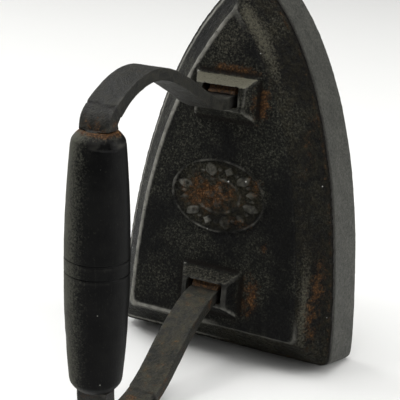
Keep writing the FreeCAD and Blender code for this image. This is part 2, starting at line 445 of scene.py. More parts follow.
def oval_radius(points):
    """1 on the medallion's outer oval, 0 at its centre."""
    dx = (points[:, 0] - MEDALLION_X) / MEDALLION_HALF[0]
    dy = points[:, 1] / MEDALLION_HALF[1]
    return np.hypot(dx, dy)


def refine_medallion(mesh):
    """Splits the faces under the medallion so that its fine relief has room."""
    bm = bmesh.new()
    bm.from_mesh(mesh)
    chosen = []
    for face in bm.faces:
        centre = np.array([face.calc_center_median()])
        if centre[0, 2] > PANEL_Z - 1 and oval_radius(centre)[0] < 1.1:
            chosen.append(face)
    wanted = {edge for face in chosen for edge in face.edges}
    edges = [edge for edge in bm.edges if edge in wanted]
    bmesh.ops.subdivide_edges(bm, edges=edges, cuts=1, use_grid_fill=True)
    bm.to_mesh(mesh)
    bm.free()


def medallion_relief(points):
    """Height of a plain ornament, as a share of RELIEF.

    Two oval rings, with leaves and lozenges in turn between them and a bead in
    each gap, and a lobed rosette with a hollow eye in the middle.
    """
    radius = oval_radius(points)
    dx = (points[:, 0] - MEDALLION_X) / MEDALLION_HALF[0]
    dy = points[:, 1] / MEDALLION_HALF[1]
    turn = np.arctan2(dx, dy)
    height = 0
    for ring_place, half_width, ring_height in (OUTER_RING, INNER_RING):
        height = np.maximum(height, ring_height * hump(radius, ring_place, half_width))
    place_in_turn = turn / (2 * math.pi) * MOTIFS
    phase = place_in_turn % 1 - 0.5
    across = phase * 2 * math.pi / MOTIFS * radius
    along = radius - MOTIF_PLACE
    leaf_edge = MOTIF_HALF_WIDTH * (1 - (along / LEAF_HALF_LENGTH) ** 2)
    leaf = smoothstep(0.03, -0.03, np.abs(across) - leaf_edge)
    from_middle = np.abs(across) / MOTIF_HALF_WIDTH + np.abs(along) / LOZENGE_HALF_LENGTH
    lozenge = smoothstep(1.1, 0.6, from_middle)
    even = np.floor(place_in_turn) % 2 == 0
    height = np.maximum(height, np.where(even, leaf, lozenge))
    bead_phase = (place_in_turn + 0.5) % 1 - 0.5
    bead_across = bead_phase * 2 * math.pi / MOTIFS * radius
    bead = np.hypot(bead_across / BEAD_RADIUS, along / BEAD_RADIUS)
    height = np.maximum(height, 0.7 * smoothstep(1.3, 0.5, bead))
    lobes = ROSETTE_RADIUS + ROSETTE_SWING * np.cos(ROSETTE_LOBES * turn)
    height = np.maximum(height, 0.9 * smoothstep(lobes + 0.05, lobes - 0.04, radius))
    return height - 0.6 * smoothstep(0.09, 0.04, radius)


# rust patches on the handle side: centre x, centre y, half-length, half-width, strength
RUST_PATCHES = [
    (122.8, -2.0, 2.6, 13.0, 0.95),
    (110.0, -17.0, 9.0, 4.0, 0.95),
    (69.0, 4.0, 8.5, 14.0, 0.95),
    (69.0, 16.0, 7.0, 5.0, 0.5),
    (76.0, -17.0, 6.0, 4.5, 0.7),
    (58.0, -10.0, 4.0, 9.0, 0.55),
    (27.0, -18.5, 10.0, 5.0, 0.9),
    (50.0, -23.5, 2.6, 2.2, 0.85),
    (28.0, -45.5, 26.0, 3.4, 0.75),
    (96.0, -36.0, 26.0, 5.0, 0.35),
]
# pale dust: same columns
DUST_PATCHES = [
    (30.0, 24.0, 22.0, 14.0, 0.45),
    (62.0, 30.0, 25.0, 10.0, 0.3),
    (45.0, 2.0, 16.0, 18.0, 0.35),
    (118.5, 0.0, 3.0, 14.0, 0.9),
    (34.5, 0.0, 3.0, 14.0, 0.55),
    (30.0, -43.0, 30.0, 2.5, 0.35),
    (146.0, -15.0, 24.0, 12.0, 0.5),
    (136.0, 2.0, 22.0, 18.0, 0.6),
]


def patches(points, rows):
    """The strongest of several soft oval patches at each point."""
    out = np.zeros(len(points))
    for x, y, half_x, half_y, strength in rows:
        spread = ((points[:, 0] - x) / half_x) ** 2 + ((points[:, 1] - y) / half_y) ** 2
        out = np.maximum(out, strength * np.exp(-spread))
    return out


def make_casting(material):
    mesh = rough_casting()
    refine_medallion(mesh)
    points = coords(mesh)
    facing = normals(mesh)
    sharp = convexity(mesh, 3)
    upper = smoothstep(0.15, 0.5, facing[:, 2])
    wall = smoothstep(0.35, 0.15, np.abs(facing[:, 2]))
    sole = smoothstep(-0.8, -0.97, facing[:, 2])
    x, y, z = points.T
    on_panel = smoothstep(PANEL_Z - 1.2, PANEL_Z - 0.2, z) * upper
    from_socket = np.minimum(np.abs(x - FRONT_SOCKET_X), np.abs(x - REAR_SOCKET_X))
    in_socket = smoothstep(BOSS_TOP_Z - 0.6, BOSS_TOP_Z - 1.6, z)
    in_socket = in_socket * (from_socket < SOCKET[0] / 2 + 0.4)
    in_socket = in_socket * (np.abs(y) < SOCKET[1] / 2 + 0.4)
    in_socket = in_socket * (z > BOSS_TOP_Z - SOCKET[2] - 1)
    band = upper * (1 - smoothstep(PANEL_Z - 1.6, PANEL_Z - 0.4, z))
    right_band = band * smoothstep(2, -6, y)

    # raised ornament, worn unevenly
    wear_noise = fractal(points, 9.0, 2, 1.0)
    lumps = fractal(points, 2.6, 2, 7.0)
    worn_relief = medallion_relief(points) * (0.75 + 0.6 * wear_noise)
    relief = RELIEF * (worn_relief + 0.3 * lumps)
    ornament = on_panel * (oval_radius(points) < 1.08)
    points = points + np.outer(relief * ornament, (0, 0, 1))
    # edges crisped again after the voxel mesh softened them; not near the sole
    crisp = EDGE_CRISPING * sharp * smoothstep(FOOT_Z + 2, FOOT_Z + 6, z)
    points = points + facing * crisp[:, None]

    # sand-cast skin: broad unevenness, grain and pits, all cut inward
    broad = 0.5 + 0.5 * fractal(points, 22.0, 2, 2.0)
    grain = 0.5 + 0.5 * fractal(points, 2.2, 3, 3.0)
    coarse = 0.5 + 0.5 * fractal(points, 4.5, 2, 4.0)
    hollow = pits(points, 3.4, 5.0)
    cut = 0.3 * broad + (0.3 * grain + 0.2 * hollow) * (1 - 0.75 * wall) * (1 - sole)
    cut = cut + right_band * (0.3 * coarse + 0.25 * grain)
    cut = cut * (1 - 0.9 * sole)
    # parting line just under the brow
    parting = hump(z, BROW_Z - 1.3, 0.8) * smoothstep(0.55, 0.25, facing[:, 2])
    cut = cut + parting * (0.3 + 0.12 * wear_noise)
    points = points - facing * np.maximum(cut, 0)[:, None]
    set_coords(mesh, points)

    # rust and soil; share is 0 at the brow and 1 at the panel
    flecks = fractal(points, 3.0, 3, 6.0)
    left = smoothstep(-8, 12, y)
    share = (z - BROW_Z) / (PANEL_Z - BROW_Z)
    rust = patches(points, RUST_PATCHES) * upper
    rust = np.maximum(rust, 0.75 * in_socket)
    brow_line = hump(z, BROW_Z + 0.7, 1.7) * (1 - sole) * (1 - left)
    rust = np.maximum(rust, 0.45 * brow_line)
    rust = rust * (0.8 + 0.6 * flecks)
    fringe = smoothstep(BROW_Z + 5.0, BROW_Z - 0.5, z)
    fringe = fringe * smoothstep(BROW_Z - 2.2, BROW_Z - 1.0, z) * (1 - left)
    soil = np.maximum(fringe, 0.9 * ornament * smoothstep(1.0, 0.8, oval_radius(points)))
    soil = np.maximum(soil, 0.6 * right_band) * (0.8 + 0.5 * flecks)

    # dust, with painted light on the left bevel and in a stripe on the right bevel
    # dust and painted light: a lighter stripe along the inner part of the right bevel
    dust_and_lit_stripe = 0.4 * right_band * hump(share, 0.72, 0.34)
    dust = patches(points, DUST_PATCHES) * upper + dust_and_lit_stripe
    toe_slopes = smoothstep(PANEL_Z + 0.6, PANEL_Z + 1.5, z)
    toe_slopes = toe_slopes * smoothstep(0.25, 0.5, facing[:, 0])
    dust = np.maximum(dust, np.where(x > MEDALLION_X, 1.25, 0.55) * toe_slopes)
    # painted light: the whole left bevel is lightened in the dust colour
    dust = np.maximum(dust, 0.32 * (band * left))

    # bare edges; on the left side the lines along the panel edge and the brow are painted
    # highlights over the wear
    on_boss = z > PANEL_Z + 1.0
    # painted highlight: only the left side's edges get these light lines
    wear = smoothstep(0.02, 0.06, sharp) * left * smoothstep(0.75, 0.95, share)
    wear = np.maximum(wear, 0.9 * left * hump(z, BROW_Z + 2.0, 1.0) * upper)
    wear = wear * (0.9 + 0.4 * flecks)
    heel_side = smoothstep(0.1, -0.3, facing[:, 0])
    boss_edge = smoothstep(0.04, 0.1, sharp) * (0.12 + 0.4 * heel_side)
    wear = np.where(on_boss, boss_edge * (0.7 + 0.9 * flecks), wear)
    # worn ornament, partly painted highlight: the raised relief is lightened, more on the left
    # side
    raised = smoothstep(0.3, 0.75, relief) * (0.5 + 0.5 * left) * (0.7 + 1.1 * flecks)
    wear = np.maximum(wear, 0.4 * ornament * raised)
    # wear and a painted highlight along the panel's edge at the heel end
    heel_edge_wear_and_highlight = band * smoothstep(24.0, 12.0, x) * hump(share, 0.93, 0.14)
    wear = np.maximum(wear, 0.5 * heel_edge_wear_and_highlight)

    # darker lines along the brow and the parting line, and painted shade in the concave hollows
    rim = smoothstep(BROW_Z + 1.0, BROW_Z + 0.2, z) * smoothstep(BROW_Z - 3, BROW_Z - 2, z)
    rim = left * rim
    brow_dark_band = hump(z, BROW_Z - 0.9, 2.3) * (1 - left) * (1 - sole) * (1.0 + 0.4 * flecks)
    dark = np.maximum(np.maximum(0.95 * parting, 0.9 * rim), brow_dark_band)
    # painted shade: every concave place is darkened
    dark = np.maximum(smoothstep(-0.02, -0.08, sharp), dark)

    add_mask(mesh, "rust", rust)
    add_mask(mesh, "soil", soil)
    add_mask(mesh, "dust", dust)
    add_mask(mesh, "wear", wear)
    add_mask(mesh, "coarse", right_band)
    add_mask(mesh, "wall", wall)
    add_mask(mesh, "sole", sole)
    add_mask(mesh, "hollow", dark)
    return place("casting", mesh, material, "iron", "casting", "body_casting")


# ---- Forged bar ----
def spline(points, step):
    """Even points on a natural cubic spline through the given (x, z) points."""
    pts = np.array(points, float)
    knots = np.concatenate([[0], np.cumsum(np.linalg.norm(np.diff(pts, axis=0), axis=1))])
    gaps = np.diff(knots)
    size = len(pts)
    system = np.eye(size)
    right = np.zeros((size, 2))
    for i in range(1, size - 1):
        system[i, i - 1:i + 2] = gaps[i - 1], 2 * (gaps[i - 1] + gaps[i]), gaps[i]
        right[i] = 6 * ((pts[i + 1] - pts[i]) / gaps[i] - (pts[i] - pts[i - 1]) / gaps[i - 1])
    bend = np.linalg.solve(system, right)
    t = np.linspace(0, knots[-1], int(knots[-1] / step) + 1)
    i = np.clip(np.searchsorted(knots, t, side="right") - 1, 0, size - 2)
    gap = gaps[i][:, None]
    a = (knots[i + 1] - t)[:, None] / gap
    b = 1 - a
    curved = (a**3 - a) * bend[i] + (b**3 - b) * bend[i + 1]
    return a * pts[i] + b * pts[i + 1] + curved * gap**2 / 6


def grip_point(distance):
    """(x, z) on the grip's axis, measured from its rear face."""
    axis = np.array([math.cos(GRIP_RISE), math.sin(GRIP_RISE)])
    return np.array(GRIP_REAR_FACE) + distance * axis


def limb_path(foot_x, middle, neck_end, neck_dir):
    """Middle line of one limb, straight out of its socket and into its neck."""
    points = [(foot_x, FOOT_BOTTOM_Z), (foot_x, BOSS_TOP_Z + 0.5), *middle]
    points += [tuple(neck_end - neck_dir * NECK_LENGTH), tuple(neck_end)]
    return spline(points, BAR_STEP)


def section_template():
    """Rounded rectangle as (side share, corner part) pairs, evenly walked."""
    rows = []
    corners = [(1, 1), (-1, 1), (-1, -1), (1, -1)]
    for k, (cu, cv) in enumerate(corners):
        for a in np.linspace(0, math.pi / 2, 5):
            angle = a + k * math.pi / 2
            rows.append((cu, cv, math.cos(angle), math.sin(angle)))
        nu, nv = corners[(k + 1) % 4]
        inner = 13 if cv == nv else 4
        du, dv = rows[-1][2:]
        for share in np.linspace(0, 1, inner + 2)[1:-1]:
            rows.append((cu + (nu - cu) * share, cv + (nv - cv) * share, du, dv))
    return np.array(rows)


def section(template, centre, normal, width, thickness, corner):
    """One ring of the bar around centre, its thickness along normal."""
    u = template[:, 0] * (width / 2 - corner) + corner * template[:, 2]
    v = template[:, 1] * (thickness / 2 - corner) + corner * template[:, 3]
    return np.column_stack([centre[0] + v * normal[0], u, centre[1] + v * normal[1]])


def make_bar(material):
    axis = np.array([math.cos(GRIP_RISE), math.sin(GRIP_RISE)])
    front_end = grip_point(GRIP_LENGTH + GRIP_END_PLAY)
    rear_end = grip_point(-GRIP_END_PLAY)
    front = limb_path(FRONT_FOOT_X, FRONT_LIMB, front_end, -axis)
    rear = limb_path(REAR_FOOT_X, REAR_LIMB, rear_end, axis)[::-1]
    template = section_template()
    rings = []
    # distance from the neck: above 0 on the front limb, below 0 on the rear, 0 on the core
    along = []

    def add_limb(path, neck_last, end, outward):
        tangent = np.gradient(path, axis=0)
        tangent /= np.linalg.norm(tangent, axis=1)[:, None]
        steps = np.linalg.norm(np.diff(path, axis=0), axis=1)
        run = np.concatenate([[0], np.cumsum(steps)])
        from_neck = run[-1] - run if neck_last else run
        for k, centre in enumerate(path):
            normal = (-tangent[k, 1], tangent[k, 0])
            swell = smoothstep(17, 3, from_neck[k])
            thickness = BAR_THICKNESS + (NECK_THICKNESS - BAR_THICKNESS) * swell
            ring = section(template, centre, normal, BAR_WIDTH, thickness, BAR_EDGE_R)
            if from_neck[k] < 2 * NECK_LENGTH:
                # the neck is trimmed flush, clear of the grip's end face
                past = np.minimum((ring[:, [0, 2]] - end) @ outward, 0)
                ring[:, [0, 2]] -= past[:, None] * outward
            rings.append(ring)
            along.append(from_neck[k] if neck_last else -from_neck[k] - 0.001)

    add_limb(front, True, front_end, axis)
    core_normal = (axis[1], -axis[0])
    for end in (front_end, rear_end):
        rings.append(section(template, end, core_normal, CORE_WIDTH, CORE_WIDTH, CORE_CORNER_R))
        along.append(0.0)
    add_limb(rear, False, rear_end, -axis)
    points, faces = loft(rings)
    mesh = raw_mesh("bar", points, faces)
    facing = normals(mesh)
    station = np.repeat(along, len(template))
    side = points[:, 1]
    x, z = points[:, 0], points[:, 2]
    ring_index = np.arange(len(points)) // len(template)
    in_core = np.isin(ring_index, [len(front), len(front) + 1])

    blows = fractal(points, 9.0, 2, 11.0)
    scale = fractal(points, 2.0, 3, 12.0)
    narrow = fractal(np.column_stack([x, 0 * x + np.sign(side) * 20, z]), 16.0, 2, 13.0)
    flat = np.abs(facing[:, 1]) < 0.5
    cut = 0.22 * (0.5 + 0.5 * blows) + 0.1 * (0.5 + 0.5 * scale)
    cut = cut + np.where(flat, 0, 0.45 * (0.5 + 0.5 * narrow))
    # the front neck's lap: a slanted line where the bar was folded over itself
    lap = station - (LAP_PLACE + 0.10 * side + 0.5 * np.sin(side * 0.9))
    cut = cut + 0.25 * smoothstep(0.5, -0.3, lap) * (station >= 0) * smoothstep(0, 3, station)
    cut = cut + 0.35 * hump(lap, 0.1, 0.7) * (station > 0)
    # the rear limb's scarf weld
    weld = -station - (WELD_PLACE + 0.08 * side + 0.5 * np.sin(side * 1.1))
    scarf = 0.3 * smoothstep(0.4, -0.4, weld) * smoothstep(-26, -6, weld)
    cut = cut + (scarf + 0.3 * hump(weld, 0.1, 0.7)) * (station < 0)
    cut = cut + 1.1 * hump(weld, 0.0, 1.6) * (station < 0) * smoothstep(-5.5, -7.2, side)
    cut = np.where(in_core, 0, np.maximum(cut, 0))
    set_coords(mesh, points - facing * cut[:, None])

    sharp = convexity(mesh, 3)
    flecks = fractal(points, 3.5, 3, 14.0)
    near_foot = smoothstep(BOSS_TOP_Z + 7, BOSS_TOP_Z - 1, z)
    near_neck = smoothstep(9, 0, np.abs(station)) * (station >= 0)
    rust = 0.75 * near_neck + 0.35 * near_foot + 0.8 * hump(-station, 41, 7) * (station < 0)
    rust = np.maximum(rust, 0.25 + 0.25 * (station < 0)) * (0.6 + 0.8 * flecks)
    dust = np.where(station < 0, 0.75, 0.3) * smoothstep(-0.4, 0.6, facing[:, 0])
    dust = dust * (0.8 + 0.4 * flecks)
    add_mask(mesh, "rust", rust)
    add_mask(mesh, "dust", dust)
    add_mask(mesh, "wear", smoothstep(0.02, 0.12, sharp) * (0.7 + 0.5 * flecks))
    seams_and_socket_shade = hump(lap, 0.1, 0.8) * (station > 0) + hump(weld, 0.1, 0.8) * (station < 0)
    # painted shade: the bar is darkened where it goes down into the sockets
    seams_and_socket_shade = np.maximum(seams_and_socket_shade, 0.85 * smoothstep(BOSS_TOP_Z + 4, BOSS_TOP_Z, z))
    # painted shade in the concave places, with the lap and weld lines
    add_mask(mesh, "hollow", np.maximum(smoothstep(-0.01, -0.1, sharp), seams_and_socket_shade))
    return place("bar", mesh, material, "iron", "forged_bar", "handle_bar")


# ---- Turned grip ----
def soft_min(a, b, radius):
    """The smaller of two values, with the corner between them rounded."""
    h = np.clip(0.5 + 0.5 * (b - a) / radius, 0, 1)
    return b + (a - b) * h - radius * h * (1 - h)


def grip_radius(distance):
    """Outer radius: a barrel with rounded-over ends."""
    middle = GRIP_LENGTH / 2
    half = middle - GRIP_CHAMFER
    rise = GRIP_MAX_R - GRIP_SHOULDER_R
    barrel = GRIP_MAX_R - rise * ((distance - middle) / half) ** 2
    from_end = np.minimum(distance, GRIP_LENGTH - distance)
    share = 1 - np.clip(from_end / GRIP_CHAMFER, 0, 1)
    chamfer = GRIP_FACE_R + (GRIP_SHOULDER_R - GRIP_FACE_R) * (1 - share**1.8)
    rounded = np.where(from_end < GRIP_CHAMFER, chamfer, GRIP_MAX_R)
    return soft_min(barrel, rounded, 0.3)


def make_grip(material):
    # rings closer together at the ends and the grooves than along the barrel
    front_span = GRIP_LENGTH - GRIP_END_SPAN
    spans = [np.linspace(0, GRIP_END_SPAN, 24), np.linspace(front_span, GRIP_LENGTH, 24)]
    spans += [np.linspace(g - GROOVE_SPAN, g + GROOVE_SPAN, 15) for g in GROOVES]
    spans.append(np.linspace(GRIP_END_SPAN, front_span, 150))
    stations = np.unique(np.round(np.concatenate(spans), 3))
    profile = [(d, grip_radius(d)) for d in stations]
    profile += [(GRIP_LENGTH, r) for r in np.linspace(GRIP_FACE_R - 0.5, GRIP_BORE_R, 5)]
    profile += [(d, GRIP_BORE_R) for d in np.linspace(GRIP_LENGTH - 2, 2, 12)]
    profile += [(0, r) for r in np.linspace(GRIP_BORE_R, GRIP_FACE_R - 0.5, 5)]
    profile = np.array(profile)
    turn = np.linspace(0, 2 * math.pi, GRIP_AROUND, endpoint=False)
    distance = np.repeat(profile[:, 0], GRIP_AROUND)
    radius = np.repeat(profile[:, 1], GRIP_AROUND)
    angle = np.tile(turn, len(profile))

    # angle 0 points away from the sole; 90 degrees is the iron's right side
    local = np.column_stack([radius * np.cos(angle), radius * np.sin(angle), distance])
    uneven = fractal(local, 26.0, 2, 21.0)
    worn = fractal(local, 7.0, 3, 22.0)
    tool_marks = fractal(np.column_stack([0.05 * local[:, :2], distance]), 2.4, 2, 23.0)
    cut = 0.16 * (0.5 + 0.5 * uneven) + 0.06 * (0.5 + 0.5 * worn)
    cut = cut + 0.05 * (0.5 + 0.5 * tool_marks)
    wander = distance + 0.35 * np.sin(angle + 0.6)
    for groove in GROOVES:
        cut = cut + GROOVE_DEPTH * hump(wander, groove, GROOVE_WIDTH / 2)
    # a split edge on the front end's rim
    chip_side = hump(angle, 1.0, 1.2)
    rim = GRIP_LENGTH - 4.5 - chip_side
    chip = chip_side * smoothstep(rim - 0.4, rim + 0.4, distance)
    cut = cut + 0.8 * chip * (0.75 + 0.4 * worn)
    cut = cut + 0.25 * pits(local, 13.0, 24.0)
    # the end faces keep their inner rim, so the bore stays open
    room = np.clip((radius - GRIP_BORE_R) / (GRIP_FACE_R - GRIP_BORE_R), 0, 1)
    radius = radius - np.maximum(cut, 0) * room**2

    axis = np.array([math.cos(GRIP_RISE), 0, math.sin(GRIP_RISE)])
    outward = np.array([-math.sin(GRIP_RISE), 0, math.cos(GRIP_RISE)])
    lateral = np.array([0, -1.0, 0])
    start = np.array([GRIP_REAR_FACE[0], 0, GRIP_REAR_FACE[1]])
    points = (
        start
        + distance[:, None] * axis
        + (radius * np.cos(angle))[:, None] * outward
        + (radius * np.sin(angle))[:, None] * lateral
    )
    rows = len(profile)
    faces = []
    for k in range(rows):
        here = k * GRIP_AROUND
        ahead = (k + 1) % rows * GRIP_AROUND
        for i in range(GRIP_AROUND):
            j = (i + 1) % GRIP_AROUND
            faces.append((here + i, here + j, ahead + j, ahead + i))
    mesh = raw_mesh("grip", points, faces)
    # dust, and painted light: the grip's left side is lightened, as if lit from the left
    left_dust_and_light = smoothstep(-0.55, 0.75, -np.sin(angle))
    end_face = smoothstep(GRIP_LENGTH - 4.0, GRIP_LENGTH - 0.5, distance)
    low_face = smoothstep(4.0, 0.5, distance)
    rust = (0.9 * end_face + 0.3 * low_face) * smoothstep(10.0, 6.6, radius)
    add_mask(mesh, "dust", 0.12 + 0.75 * left_dust_and_light * (0.95 + 0.15 * worn) + 0.35 * end_face)
    add_mask(mesh, "rust", rust * (0.9 + 0.6 * worn))
    lips = sum(hump(wander, g - 1.1, 0.7) for g in GROOVES)
    rim_wear = 0.9 * hump(distance, GRIP_LENGTH - 4.4, 1.2) * (0.5 + worn)
    add_mask(mesh, "wear", rim_wear + 0.6 * chip + 0.4 * lips * (0.6 + worn))
    # painted shade: the turned grooves are darkened
    groove_shade = sum(hump(wander, g, GROOVE_WIDTH * 0.6) for g in GROOVES)
    add_mask(mesh, "hollow", 0.95 * groove_shade)
    return place("turned_grip", mesh, material, "grip", "black_wood", "grip")


# ---- Wedges ----
def make_wedge(name, socket_x, seed, material, node):
    """Tapered iron packing with a battered head."""
    bar_face = socket_x - SOCKET[0] / 2 + BAR_THICKNESS + 0.1
    wall = socket_x + SOCKET[0] / 2 - 0.05
    template = section_template()
    rings = []
    count = 44
    for k in range(count + 1):
        share = k / count
        z = WEDGE_TOP_Z - WEDGE_LENGTH * (1 - share)
        thickness = WEDGE_TIP + (wall - bar_face - WEDGE_TIP) * share
        ring = section(template, (0, 0), (1, 0), WEDGE_WIDTH, thickness, 0.5)
        ring[:, 0] += bar_face + thickness / 2
        ring[:, 2] = z
        rings.append(ring)
    for share in (0.82, 0.62, 0.42, 0.22, 0.06):
        ring = rings[count].copy()
        middle = ring.mean(axis=0)
        ring = middle + (ring - middle) * (share, share, 1)
        rings.append(ring)
    points, faces = loft(rings)
    # the head is battered down toward the socket's wall
    slope = smoothstep(bar_face + 0.9, wall, points[:, 0])
    slope = slope * smoothstep(WEDGE_TOP_Z - 6, WEDGE_TOP_Z, points[:, 2])
    points[:, 2] -= WEDGE_HEAD_DROP * slope
    mesh = raw_mesh(name, points, faces)
    facing = normals(mesh)
    head = smoothstep(WEDGE_TOP_Z - 3, WEDGE_TOP_Z, points[:, 2])
    cut = 0.25 * (0.5 + 0.5 * fractal(points, 1.6, 3, seed))
    cut = cut + head * 0.7 * (0.5 + 0.5 * fractal(points, 3.5, 2, seed + 1))
    set_coords(mesh, points - facing * np.maximum(cut, 0)[:, None])
    flecks = fractal(points, 1.5, 2, seed + 2)
    add_mask(mesh, "rust", 0.75 + 0.4 * flecks)
    add_mask(mesh, "dust", 0.3 + 0.3 * flecks)
    add_mask(mesh, "wear", smoothstep(0.0, 0.12, convexity(mesh, 2)))
    return place(name, mesh, material, "iron", "wedge_iron", node)


# ---- Materials ----
def put(tree, kind, inputs=None, **settings):
    """Adds a node; inputs are constants or the sockets of other nodes."""
    made = tree.nodes.new(kind)
    for key, value in settings.items():
        setattr(made, key, value)
    for key, value in (inputs or {}).items():
        if isinstance(value, bpy.types.NodeSocket):
            tree.links.new(value, made.inputs[key])
        else:
            made.inputs[key].default_value = value
    return made


def blend(tree, factor, first, second):
    """Colour between first and second; both may be constants or sockets."""
    inputs = {0: factor, 6: first, 7: second}
    return put(tree, "ShaderNodeMix", inputs, data_type="RGBA").outputs[2]


def level(tree, value, low, high, to_low=0.0, to_high=1.0):
    """Value brought smoothly from low..high to to_low..to_high."""
    inputs = {
        "Value": value,
        "From Min": low,
        "From Max": high,
        "To Min": to_low,
        "To Max": to_high,
    }
    return put(tree, "ShaderNodeMapRange", inputs, interpolation_type="SMOOTHSTEP").outputs[0]


def calc(tree, operation, first, second):
    return put(tree, "ShaderNodeMath", {0: first, 1: second}, operation=operation).outputs[0]


def times(tree, first, second):
    return calc(tree, "MULTIPLY", first, second)


def plus(tree, first, second):
    return calc(tree, "ADD", first, second)


def minus(tree, first, second):
    return calc(tree, "SUBTRACT", first, second)


def mask(tree, name):
    """A mask painted on the mesh by add_mask."""
    return put(tree, "ShaderNodeAttribute", attribute_name=name).outputs["Fac"]


def grain_of(tree, where, size_mm, detail=3.0, rough=0.6):
    """Noise of 0 to 1 with features of about size_mm."""
    inputs = {"Vector": where, "Scale": 1 / (size_mm * MM), "Detail": detail, "Roughness": rough}
    return put(tree, "ShaderNodeTexNoise", inputs).outputs["Fac"]


def stretched(tree, where, scale):
    """Coordinates scaled by axis, so that noise runs long where the scale is low."""
    return put(tree, "ShaderNodeMapping", {"Vector": where, "Scale": scale}).outputs[0]


def rgb(r, g, b):
    return (r, g, b, 1.0)


def new_material(name):
    material = bpy.data.materials.new(name)
    material.use_nodes = True
    tree = material.node_tree
    shader = tree.nodes["Principled BSDF"]
    where = put(tree, "ShaderNodeTexCoord").outputs["Object"]
    return material, tree, shader, where


def specks(tree, where, cell_mm, share):
    """Rare tiny round dust grains: 1 inside one, else 0."""
    inputs = {"Vector": where, "Scale": 1 / (cell_mm * MM)}
    cells = put(tree, "ShaderNodeTexVoronoi", inputs)
    near = calc(tree, "LESS_THAN", cells.outputs["Distance"], 0.085)
    pick = put(tree, "ShaderNodeSeparateColor", {0: cells.outputs["Color"]}).outputs[0]
    rare = calc(tree, "LESS_THAN", pick, share)
    return times(tree, near, rare)


def bump(tree, shader, heights):
    """Chains bump nodes for (height socket, depth in mm) pairs into the shader."""
    last = None
    for height, depth_mm in heights:
        inputs = {"Height": height, "Distance": depth_mm * MM, "Strength": 1.0}
        if last is not None:
            inputs["Normal"] = last
        last = put(tree, "ShaderNodeBump", inputs).outputs[0]
    tree.links.new(last, shader.inputs["Normal"])


# colours, in linear light
RUST_DARK = rgb(0.036, 0.018, 0.009)
RUST_BRIGHT = rgb(0.150, 0.074, 0.028)
SKIN_BLACK = rgb(0.0022, 0.0024, 0.0027)
SKIN_BROWN = rgb(0.0085, 0.0088, 0.0066)
SKIN_PALE_AND_GLINT = rgb(0.036, 0.036, 0.028)
SKIN_FLECK_AND_GLINT = rgb(0.074, 0.073, 0.056)
SKIN_PIT = rgb(0.0015, 0.0015, 0.0015)
SOIL = rgb(0.034, 0.029, 0.015)
WALL_DARK = rgb(0.026, 0.0265, 0.024)
WALL_LIGHT = rgb(0.086, 0.086, 0.075)
SOLE_DARK = rgb(0.06, 0.058, 0.053)
SOLE_LIGHT = rgb(0.17, 0.165, 0.155)
SKIN_DUST_AND_LIGHT = rgb(0.118, 0.112, 0.082)
BARE_IRON_AND_HIGHLIGHT = rgb(0.27, 0.265, 0.235)
DARK_LINE_AND_SHADE = rgb(0.005, 0.0038, 0.0026)
SKIN_DOT = rgb(0.6, 0.6, 0.58)
BAR_DARK = rgb(0.006, 0.0062, 0.0052)
BAR_LIGHT = rgb(0.0195, 0.0188, 0.0135)
BAR_FLECK = rgb(0.07, 0.068, 0.058)
BAR_DUST = rgb(0.050, 0.047, 0.027)
BAR_EDGE = rgb(0.10, 0.098, 0.088)
BAR_SEAM_AND_SHADE = rgb(0.006, 0.005, 0.005)
BAR_DOT = rgb(0.5, 0.5, 0.48)
WOOD_BLACK = rgb(0.0012, 0.0013, 0.0014)
WOOD_DARK = rgb(0.0042, 0.0044, 0.0042)
WOOD_PORE = rgb(0.026, 0.026, 0.022)
WOOD_DUST_AND_LIGHT = rgb(0.085, 0.085, 0.066)
WOOD_EDGE = rgb(0.06, 0.058, 0.050)
WOOD_GROOVE_SHADE = rgb(0.003, 0.003, 0.003)
WOOD_DOT = rgb(0.35, 0.35, 0.32)
WEDGE_DARK = rgb(0.016, 0.014, 0.012)
WEDGE_LIGHT = rgb(0.07, 0.055, 0.04)
WEDGE_DUST = rgb(0.09, 0.08, 0.055)
WEDGE_EDGE = rgb(0.12, 0.09, 0.06)
FLOOR_DARK = rgb(0.80, 0.80, 0.785)
FLOOR_LIGHT = rgb(0.83, 0.83, 0.815)
SKY = rgb(1.0, 1.0, 0.99)


def rusted(tree, where, colour, amount):
    """Colour with rust over it: amount is 0 to 1, broken up by noise."""
    break_up = grain_of(tree, where, 1.3, 5.0, 0.7)
    edge = plus(tree, amount, times(tree, minus(tree, break_up, 0.5), 1.5))
    cover = level(tree, edge, 0.28, 0.85)
    mottle = level(tree, grain_of(tree, where, 0.8, 3.0), 0.42, 0.68)
    tint = blend(tree, mottle, RUST_DARK, RUST_BRIGHT)
    return blend(tree, cover, colour, tint), cover


